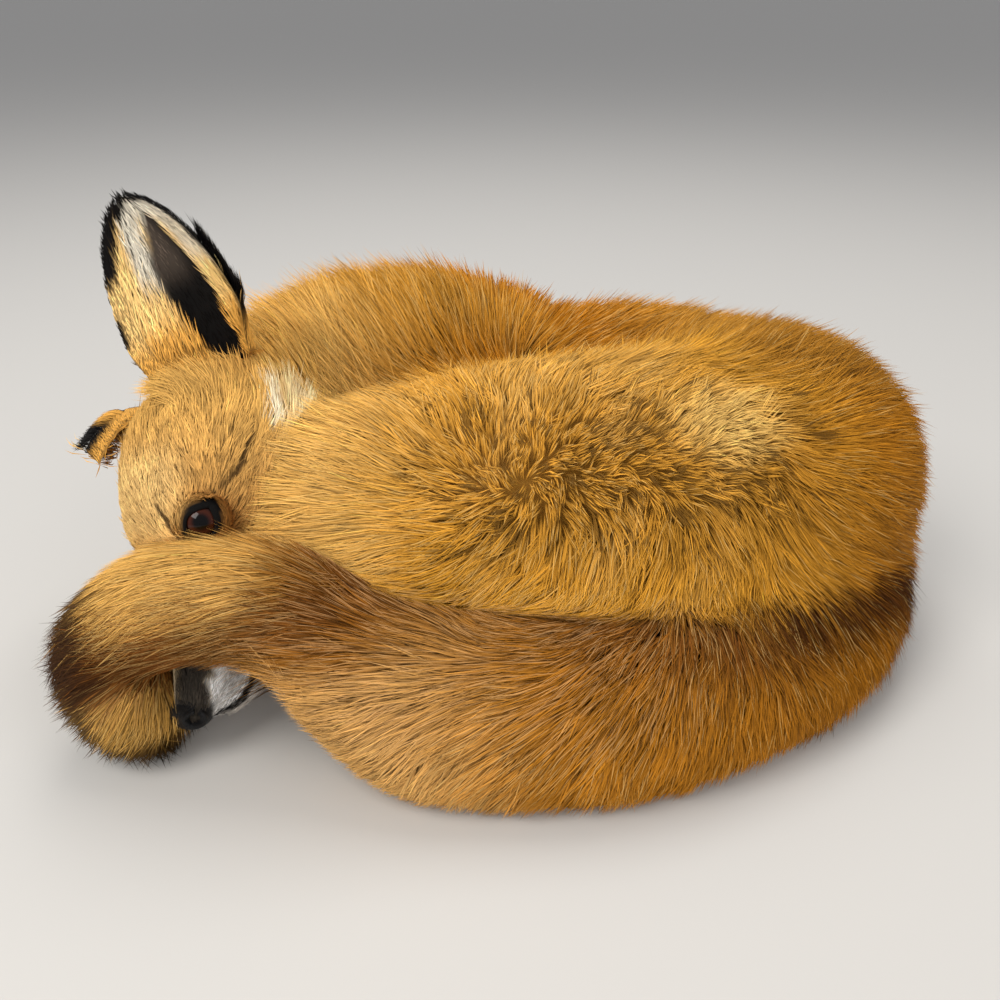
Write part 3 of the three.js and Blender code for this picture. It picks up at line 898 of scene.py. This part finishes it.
def loft_of(p, normals):
    """How far the longest tips stand out of the coat: the ruff, the back, the rump and the tail's end."""
    x, y, z = p.T
    ruff = 19 * ramp(z, 112, 138) * ramp(x, 30, -20) * ramp(y, -60, -20)
    back = 12 * ramp(normals[:, 2], 0.2, 0.7) * ramp(z, 90, 125) * ramp(y, -75, -30)
    rump = 9 * ramp(x, 110, 170)
    end = 9 * ramp(x, -120, -165) * ramp(z, 105, 80)
    whorl = 4 * whorl_nearness(p)
    return np.maximum.reduce([ruff, back, rump, end, whorl, np.full(len(p), 2)])


def coat_density(p, normal):
    """Tufts a square millimetre at spots of the skin, none where nothing shows."""
    owner = owners(p)
    rate = np.where(owner == 0, FACE_DENSITY, COAT_DENSITY + 0.35 * ramp(p[:, 0], -20, -80))
    hidden = COAT_TOP.at(p) < -HIDDEN_DEPTH
    for n, volume in enumerate(VOLUMES):
        hidden |= (owner != n) & (volume.at(p) < -COVERED_DEPTH) & ((n == 0) | (owner == 0))
    socket = gap_to(p, head_point(EYE_PLACE)) < EYE_RADIUS + 0.9
    underside = (normal[:, 2] < -0.5) & (p[:, 2] < 6)
    return np.where(hidden | socket | underside, 0, rate * (1 - 0.55 * far_side(normal)))


def comb_tufts(roots, normals, owner, lock, in_lock):
    """The tufts' middles and tips, and their widths."""
    count = len(roots)
    length, width = coat_sizes(roots, normals, owner)
    depth = np.choose(owner, coat_depths(roots))
    body_like = owner > 0
    hem = ramp(band_height(roots), 104, 88) * ramp(roots[:, 1], 0, -40) * (owner == 1)
    ragged = 0.16 * RNG.normal(size=count) + (0.10 + 0.22 * hem) * in_lock[:, 0]
    length = length * np.clip(np.exp(ragged), 0.6, 1.4 + 0.4 * hem)
    width = width * RNG.uniform(0.7, 1.3, count)
    stray = 0.17 + 0.24 * whorl_nearness(roots)
    comb = combed(roots, normals, owner)
    comb = comb + RNG.normal(0, 0.13, (count, 3)) + stray[:, None] * in_lock[:, 1:4]
    comb = square_to(comb, normals)

    out = loft_of(roots, normals) * body_like
    standing = out * RNG.uniform(0, 1, count) ** 1.5 * np.exp(0.3 * in_lock[:, 4])
    standing = standing + (RNG.random(count) < 0.04) * RNG.uniform(0, 3, count)
    standing = standing + np.where(body_like, 0, 11 * by_ears(roots)) * RNG.uniform(0.1, 1, count)
    sunk = depth * np.clip(0.16 + 0.14 * in_lock[:, 4] + RNG.uniform(-0.1, 0.12, count), 0, 0.5)
    sunk = sunk + np.where(owner == 0, 2.2 * fold_nearness(roots), 0)
    middles = roots + comb * (MIDDLE_SHARE * length)[:, None]
    middles = settled(middles, -0.35 * depth - 0.6 * sunk + 0.25 * standing)
    middles = roots + within(middles - roots, 0.45 * length + depth)
    tips = settled(middles + comb * ((1 - MIDDLE_SHARE) * length)[:, None], standing - sunk)
    tips = middles + within(tips - middles, 0.8 * length)
    pull = np.where(body_like, 0.45, 0.2) * RNG.uniform(0.2, 1, count)
    return middles, gathered(tips, lock, pull), width


def coat_colours(roots, middles, tips, owner, in_lock):
    """The tufts' colours at their roots, middles and tips."""
    count = len(roots)
    x, _, z = roots.T
    on_head, body_like = owner == 0, owner > 0
    whorl = whorl_nearness(roots)
    tone = coat_tone(roots, owner)
    tone[on_head] = head_colour(0.5 * (middles + tips)[on_head])
    patch = ramp(polyline_gap(middles, WHITE_PATCH) + RNG.normal(0, 1.5, count), 5.5, 1)
    tone = layered(tone, ("white_fur", 0.8 * patch))
    shade = np.exp(0.17 * RNG.normal(size=count) + 0.12 * in_lock[:, 0] + 0.10 * waves(roots, 22, 5))
    tone = tone * shade[:, None]

    # dark tips at the tail's end are partly black hair and partly painted shade; those along its underside
    # near the floor are painted shadow
    fringe = fringe_and_floor_shade(tips, owner)
    grizzle = ramp(z, 96, 74) * ramp(z, 34, 54) * ramp(x, 110, 60) * ramp(x, -120, -80)
    pale = body_like & (RNG.random(count) < 0.22 - 0.15 * ramp(x, 20, 100) + 0.16 * grizzle)
    dark = RNG.random(count) < np.where(body_like, 0.05 + 0.10 * grizzle + fringe, 0.02)
    spots = waves(roots, 7, 91) + 0.5 * in_lock[:, 0] + 0.5 * whorl
    speckle = body_like & (spots > 1) & (whorl > 0.12) & (tone[:, 1] < PAINT["flank"][1] * 1.25)

    def at_strength(strength):
        return np.full(count, strength)

    tip_tone = tone * 1.22
    pale_tip = mix(PAINT["white_tip"], PAINT["pink_tip"], grizzle)
    tip_tone[pale] = mix(tone * 1.1, pale_tip, at_strength(0.55))[pale]
    tip_tone[dark] = mix(tone * 0.8, PAINT["dark_tip"], at_strength(0.88))[dark]
    tip_tone[speckle] = mix(tone, PAINT["black"] * 2.2, at_strength(0.75))[speckle]
    drawn = np.where(dark | speckle, 0.2 + 0.6 * np.maximum(fringe, speckle), 0.12)
    root_depth = np.where(body_like, 0.58 + 0.2 * whorl, 0.78)
    under = np.where(body_like, 0.3 * (1 - 0.7 * whorl), 0)
    root_tone = layered(tone * root_depth[:, None], ("underfur", under))
    return root_tone, mix(tone * 0.86, tip_tone, drawn), tip_tone


def grow_coat(skin):
    """The coat over the skin, in several pieces."""
    roots, normals, places = scatter(skin, coat_density)
    owner = owners(roots)
    lock = locks_of(roots, LOCK_TUFTS)
    in_lock = np.clip(RNG.normal(size=(lock.max() + 1, 5)), -2, 2)[lock]
    middles, tips, width = comb_tufts(roots, normals, owner, lock, in_lock)
    colours = coat_colours(roots, middles, tips, owner, in_lock)
    normals = COAT_TOP.slope(middles)
    material = painted_material("fox_coat", 0.6, 0.10)[0]
    for part, name in enumerate(("face", "body", "tail")):
        chosen = np.flatnonzero(owner == part)
        chosen = chosen[np.argsort(roots[chosen, 0], kind="stable")]
        for n, group in enumerate(np.array_split(chosen, math.ceil(len(chosen) / PIECE_TUFTS)), start=1):
            obj = tuft_mesh(f"coat_{name}_{n}", roots[group], middles[group], tips[group], normals[group],
                            width[group], [shades[group] for shades in colours], places[group])
            finish_piece(obj, material, f"{name}_coat")


def fringe_and_floor_shade(p, owner):
    """How likely a dark tip is on the tail: at its far end, black tips mixed with painted shade, and along
    its underside near the floor, painted shadow.
    """
    x, _, z = p.T
    outer = ramp(x, -172, -186) * ramp(z, 100, 84) + ramp(z, 22, 10) * ramp(x, -110, -125)
    return np.where(owner == 2, np.clip(outer, 0, 1) * 0.92, 0)


# ---------- eyes, nose and ears


def eye_frame(side):
    """An eye's centre, its directions out of the pupil and along the lids, and the third square to them."""
    flip = np.array([1, 1 if side == "left" else -1, 1])
    out = unit(EYE_AIM * flip) @ HEAD_AXES
    slant = square_to((EYE_SLANT * flip) @ HEAD_AXES, out)
    return head_point(EYES[side]), out, slant, np.cross(out, slant) * flip[1]


def ball(lon, lat):
    """Directions of a ball's points, as the way from its pole and the way round, and its faces."""
    round_pole = np.linspace(0, 2 * np.pi, lon, endpoint=False)
    from_pole = np.linspace(0, np.pi, lat + 1)[1:-1]
    faces = []
    last = 1 + (lat - 2) * lon
    for i in range(lon):
        j = (i + 1) % lon
        faces.append((0, 1 + i, 1 + j))
        for start in range(1, last, lon):
            faces.append((start + i, start + i + lon, start + j + lon, start + j))
        faces.append((last + i, last + lon, last + j))
    away = np.concatenate([[0], np.repeat(from_pole, lon), [np.pi]])
    turn = np.concatenate([[0], np.tile(round_pole, lat - 1), [0]])
    return away, turn, faces


def make_eye(side, material):
    """A glass eye: a ball with a slightly raised cornea."""
    centre, out, slant, _ = eye_frame(side)
    away, turn, faces = ball(*EYE_MESH)
    ring = np.cos(turn)[:, None] * slant + np.sin(turn)[:, None] * np.cross(out, slant)
    bulge = 1 + 0.04 * np.exp(-(away / 0.5) ** 2)
    directions = np.cos(away)[:, None] * out + np.sin(away)[:, None] * ring
    obj = make_object(f"eye_{side}_glass", centre + directions * (EYE_RADIUS * bulge)[:, None], faces)
    paint(obj, layered(
        PAINT["iris"],
        ("iris_rim", ramp(away, 0.46, 0.70)),
        ("pupil", ramp(away, 0.50, 0.24)),
        ("eye_edge", ramp(away, 0.62, 0.76))))
    finish_piece(obj, material, "eye", f"eye_{side}")


def almond_gap(u, v, middle, reach, halves):
    """How far a spot lies outside an almond, in mm; u runs along the lids and v across them."""
    along = np.abs(u - middle) / reach
    half = np.where(v > 0, *halves) * np.maximum(1 - along ** 1.8, 0)
    return np.where(along < 1, np.abs(v) - half, np.hypot((along - 1) * reach, v))


def ring_faces(rings, columns, closed):
    """Quads between neighbouring rings of points, and from the last ring to the first where it is closed."""
    faces = []
    for row in range(rings if closed else rings - 1):
        for i in range(columns):
            j = (i + 1) % columns
            a, b = row * columns, (row + 1) % rings * columns
            faces.append((a + i, a + j, b + j, b + i))
    return faces


def make_lids(side, leather, coat):
    """Both lids of an eye as one shell round the ball, open at an almond, with short hair on it."""
    centre, out, slant, over = eye_frame(side)
    turn = np.linspace(0, 2 * np.pi, LID_COLUMNS, endpoint=False)
    aim = np.stack([np.cos(turn), np.sin(turn)])
    reach = np.linspace(0.5, LID_REACH, 271)
    gaps = almond_gap(*(reach[:, None] * aim[:, None]), *OPENING)
    margin = reach[np.argmax(gaps > 0, axis=0)]
    rings, spans = [], []
    for share, height in LID_SECTION:
        span = margin + (LID_REACH - margin) * share
        arc = (span / EYE_RADIUS)[:, None]
        round_pupil = aim.T @ np.stack([slant, over])
        rings.append(centre + (np.cos(arc) * out + np.sin(arc) * round_pupil) * (EYE_RADIUS + height))
        spans.append(almond_gap(*(span * aim), *BARE))
    faces = ring_faces(len(rings), LID_COLUMNS, True)
    if side == "left":
        faces = [face[::-1] for face in faces]
    points = np.concatenate(rings)
    obj = make_object(f"lids_{side}", points, faces)
    bare = ramp(np.concatenate(spans), 1.6, 0.2)
    paint(obj, mix(head_colour(points) * 0.7, PAINT["black"], bare))
    unwrap(obj)
    finish_piece(obj, leather, "face_coat")
    grow_lid_hair(obj, side, coat)


def grow_lid_hair(obj, side, material):
    """Short hair on the lids' outer face, from the edge of the bare skin outward."""
    centre, out, slant, over = eye_frame(side)
    roots, normals, places = scatter(obj, lambda p, normal: np.full(len(p), LID_DENSITY))
    local = roots - centre
    arc = np.arccos(np.clip(unit(local) @ out, -1, 1)) * EYE_RADIUS
    heading = unit(np.stack([local @ slant, local @ over], axis=1)) * arc[:, None]
    beyond = almond_gap(*heading.T, *BARE)
    keep = (beyond > 0.8 * RNG.random(len(roots))) & (dot(unit(local), normals) > 0.2)
    roots, normals, places, beyond = roots[keep], normals[keep], places[keep], beyond[keep]
    flow = head_flow(roots) + RNG.normal(0, 0.15, (len(roots), 3)) + 0.5 * unit(roots - centre)
    flow = square_to(flow, normals)
    length = ((2.4 + 4.6 * ramp(beyond, 0.5, 4)) * RNG.uniform(0.8, 1.2, len(roots)))[:, None]
    middles = roots + (flow * 0.45 + normals * 0.16) * length
    tips = roots + (flow + normals * 0.14) * length
    tone = head_colour(roots) * np.exp(0.2 * RNG.normal(size=len(roots)))[:, None]
    tone = layered(tone, ("fold", 0.8 * ramp(beyond, 1.8, 0.4)))
    tufts = tuft_mesh(f"coat_lids_{side}", roots, middles, tips, normals, np.full(len(roots), 0.36),
                      [tone * 0.75, tone * 0.92, tone * 1.1], places)
    finish_piece(tufts, material, "face_coat")


def glass_material():
    """Wet-looking glass over a painted iris."""
    material, _, shader, _ = painted_material("eye_glass", 0.15, 0.05)
    put(shader, Coat_Weight=0.4, Coat_Roughness=0.02)
    return material


def nose_material():
    """Black, pebbled and slightly moist leather."""
    material, tree, shader = new_material("nose_leather", 0.38, 0.4)
    put(shader, Base_Color=(*PAINT["nose"], 1))
    pebble = tree.nodes.new("ShaderNodeTexVoronoi")
    put(pebble, Scale=1100)
    roughen(tree, shader, pebble.outputs["Distance"], 0.6, 0.0004).invert = True
    return material


def make_nose():
    """The nose pad, with a nostril and its slit on each side and a groove below."""
    away, turn, faces = ball(*NOSE_MESH)
    # The pole points forward: the first number is the depth, the others lie across.
    directions = np.stack([-np.cos(away), np.sin(away) * np.cos(turn), np.sin(away) * np.sin(turn)], axis=1)
    depth, b, c = directions.T
    half_face = np.stack([depth, np.abs(b), c], axis=1)

    def angle_to(spot):
        return np.arccos(np.clip(half_face @ unit(spot), -1, 1))

    nostril = angle_to(NOSTRIL)
    slit = np.min([angle_to(spot) for spot in NOSTRIL_SLIT], axis=0)
    pit = np.maximum(0.60 * ramp(nostril, 0.36, 0.18), 0.34 * ramp(slit, 0.16, 0.07))
    groove = 0.12 * ramp(np.abs(b), 0.10, 0) * ramp(c, 0.2, -0.2) * ramp(-depth, -0.3, 0.2)
    wing = 0.13 * ramp(np.abs(nostril - 0.48), 0.16, 0)
    radius = (1 + wing - pit - groove)[:, None]
    points = head_point(np.array(NOSE_MIDDLE) + directions * radius * np.array(NOSE_RADII))
    obj = make_object("nose_leather", points, faces)
    finish_piece(obj, nose_material(), "nose_pad", "nose")


def ear_frame(ear):
    """An ear's root, and its directions up, out of the cup and across."""
    up = unit(ear["along"])
    out = square_to(np.array(ear["open"]), up)
    return head_point(ear["root"]), up, out, np.cross(up, out)


def ear_half_width(t):
    """Half the ear's width from its root, where t is 0, to its blunt tip, where t is 1."""
    return EAR_WIDTH / 2 * (0.8 + 0.2 * ramp(t, 0, 0.3)) * (1 - np.minimum(t, 0.999) ** 2.6) ** 0.6 + 0.6


def ear_sheet(ear, t, s, thick):
    """Points on an ear: t from root to tip, s across from -1 to 1, thick out of its middle sheet."""
    root, up, out, across = ear_frame(ear)
    cup = EAR_CUP * (1 - t) ** 0.8 + 2
    sunk = -cup * (1 - s * s) * (1 + EAR_SKEW * s) + thick
    place = up * (t * EAR_LENGTH)[..., None] + across * (ear_half_width(t) * s)[..., None]
    return root + place + out * sunk[..., None]


def ear_hollow(t, s):
    """1 in the dark bare hollow of an ear, 0 outside it; s is 1 at the edge nearer the neck."""
    off = np.abs(s - np.interp(t, HOLLOW_T, HOLLOW_MIDDLE)) / np.interp(t, HOLLOW_T, HOLLOW_HALF)
    return ramp(off, 1.1, 0.75)


def ear_colour(t, s, inside):
    """The ear's colours on its hollow face or its back."""
    edge = np.maximum(ramp(np.abs(s), 0.55, 0.75), ramp(t, 0.45, 0.6))
    back = layered(PAINT["ear_base"], ("ear_black", ramp(t, 0.06, 0.2) * edge))
    streak = ramp(np.abs(s + 0.32), 0.30, 0.10) * ramp(t, 0.35, 0.55)
    streak = streak + ramp(t, 0.72, 0.88) * ramp(s, -0.6, -0.3)
    face = layered(
        PAINT["ear_base"],
        ("ear_cream", ramp(t, 0.12, 0.36)),
        ("ear_white", np.clip(streak, 0, 1)),
        ("ear_white", 0.8 * ramp(s, 0.45, 0.7) * ramp(t, 0.4, 0.6)))
    depths = mix(PAINT["ear_black"] * 0.5, PAINT["ear_grey"], ramp(t, 0.44, 0.66) * ramp(s, 0.5, 0.1))
    face = mix(face, depths, ear_hollow(t, s))
    rim = np.maximum.reduce([
        ramp(t, 0.91, 0.955),
        ramp(np.abs(s), 0.95, 0.99) * ramp(t, 0.5, 0.65),
        ramp(s - (t - 0.75), -0.60, -0.78) * ramp(t, 0.56, 0.66),
        ramp(t, 0.86, 0.92) * ramp(s, 0.1, -0.3),
        ramp(s, -0.91, -0.97) * ramp(t, 0.26, 0.30) * ramp(t, 0.46, 0.42)])    # the small pouch
    return np.where(np.asarray(inside)[..., None], layered(face, ("ear_black", rim)), back)


def make_ear(side, material, coat):
    """An ear's leather and its hair."""
    ear = EARS[side]
    t = np.linspace(0, 1, EAR_ROWS) ** 0.9 * 0.99
    s = np.linspace(-1, 1, EAR_COLUMNS)
    thickness = np.repeat([EAR_SKIN, -EAR_SKIN], EAR_COLUMNS)
    grid_t, grid_s = np.meshgrid(t, np.concatenate([s, s[::-1]]), indexing="ij")
    points = ear_sheet(ear, grid_t, grid_s, thickness * (1 - 0.6 * grid_s**2)).reshape(-1, 3)
    size = 2 * EAR_COLUMNS
    faces = ring_faces(EAR_ROWS, size, False)
    for start, turned in ((0, False), ((EAR_ROWS - 1) * size, True)):
        for i in range(EAR_COLUMNS - 1):
            quad = (start + i, start + size - 1 - i, start + size - 2 - i, start + i + 1)
            faces.append(quad[::-1] if turned else quad)
    obj = make_object(f"ear_{side}_skin", points, faces)
    paint(obj, ear_colour(grid_t.ravel(), grid_s.ravel(), np.tile(thickness > 0, EAR_ROWS)) * 0.7)
    unwrap(obj)
    finish_piece(obj, material, "ear_coat", f"ear_{side}")
    grow_ear_hair(obj, side, coat)


def grow_ear_hair(obj, side, material):
    """Short hair over both faces of an ear, longer in front of its hollow and behind its edge by the neck."""
    root, up, out, across = ear_frame(EARS[side])
    roots, normals, places = scatter(obj, lambda p, normal: np.full(len(p), EAR_DENSITY))
    t = np.clip((roots - root) @ up / EAR_LENGTH, 0, 1)
    s = np.clip((roots - root) @ across / ear_half_width(t), -1, 1)
    inside = normals @ out > 0
    hollow = ear_hollow(t, s) * inside
    count = len(roots)
    edge = ramp(np.abs(s), 0.6, 0.95)

    def random_lengths(low, high):
        return RNG.uniform(low, high, count)

    keep = RNG.random(count) > 0.75 * ramp(hollow, 0.3, 0.8)
    fringe = inside & (hollow < 0.4) & (RNG.random(count) < 0.8) & (t > 0.1) & (s > -0.8)
    flare = ~inside & (s > 0.45) & (t > 0.22) & (t < 0.62)
    low_back = ~inside & (t < 0.45) & (s < -0.4)
    filled = inside & (t < 0.4) & (side == "right")      # hair stands into the far ear's cup, where it shows
    length = random_lengths(2.5, 4.5) + 2.0 * (~inside) * (1 - 0.6 * edge)
    taper = (1 - 0.6 * t) * (1 - 0.5 * edge * ramp(t, 0.3, 0.6))
    length = np.where(fringe, random_lengths(9, 19) * taper, length)
    length = np.where(flare, random_lengths(9, 15), length)
    length = np.where(low_back, random_lengths(2, 3.5), length)
    lean = np.where(inside, np.where(fringe, -0.35, -0.1) * s, 0.05 * s)
    lean = np.where(flare, 1.1, lean)
    flow = square_to(up + across * lean[:, None] + RNG.normal(0, 0.14, (count, 3)), normals)
    length = np.where(filled, random_lengths(6, 11), length)[:, None]
    lift = np.select([filled, fringe, inside], [0.8, 0.20, 0.15], 0.24)[:, None]
    middles = roots + (flow * 0.45 + normals * (0.8 * lift)) * length
    tips = roots + (flow + normals * lift) * length
    tone = ear_colour(t, s, inside) * np.exp(0.2 * RNG.normal(size=count))[:, None]
    width = np.where(fringe, 0.6, 0.5) * RNG.uniform(0.7, 1.2, count)
    part = np.flatnonzero(keep | filled)
    colours = [shades[part] for shades in (tone * 0.8, tone, tone * 1.1)]
    tufts = tuft_mesh(f"coat_ear_{side}", roots[part], middles[part], tips[part], normals[part], width[part],
                      colours, places[part])
    finish_piece(tufts, material, "ear_coat")


# ---------- the studio


def make_studio():
    """A pale floor, soft lights and the camera."""
    corners = np.array([(-1, -1, 0), (1, -1, 0), (1, 1, 0), (-1, 1, 0)]) * FLOOR_HALF
    floor = make_object("floor", corners, [(0, 1, 2, 3)])
    material, _, shader = new_material("floor_paint", 0.8, 0.2)
    put(shader, Base_Color=(*PAINT["floor"], 1))
    floor.data.materials.append(material)

    scene = bpy.context.scene
    scene.world = bpy.data.worlds.new("studio")
    scene.world.use_nodes = True
    put(scene.world.node_tree.nodes["Background"], Color=(*SKY, 1), Strength=SKY_STRENGTH)

    for name, place, width, power, tint in LIGHTS:
        data = bpy.data.lights.new(name, "AREA")
        data.size = width
        data.energy = power
        data.color = tint
        light = add_object(name, data)
        light.location = place
        light.rotation_euler = Vector(LIGHT_AIM - place).to_track_quat("-Z", "Y").to_euler()
        light.visible_glossy = name == "key"

    data = bpy.data.cameras.new("camera")
    data.lens = CAMERA_LENS
    data.sensor_width = 36
    camera = add_object("camera", data)
    camera.location = CAMERA_PLACE
    camera.rotation_euler = (math.radians(90 - CAMERA_PITCH), 0, 0)
    scene.camera = camera
    scene.view_settings.view_transform = "Standard"


# ---------- build

skin = make_skin()
grow_coat(skin)
glass = glass_material()
leather = skin_material()
hair = painted_material("fox_coat", 0.6, 0.10)[0]
for side in EYES:
    make_eye(side, glass)
    make_lids(side, leather, hair)
    make_ear(side, leather, hair)
make_nose()
make_studio()
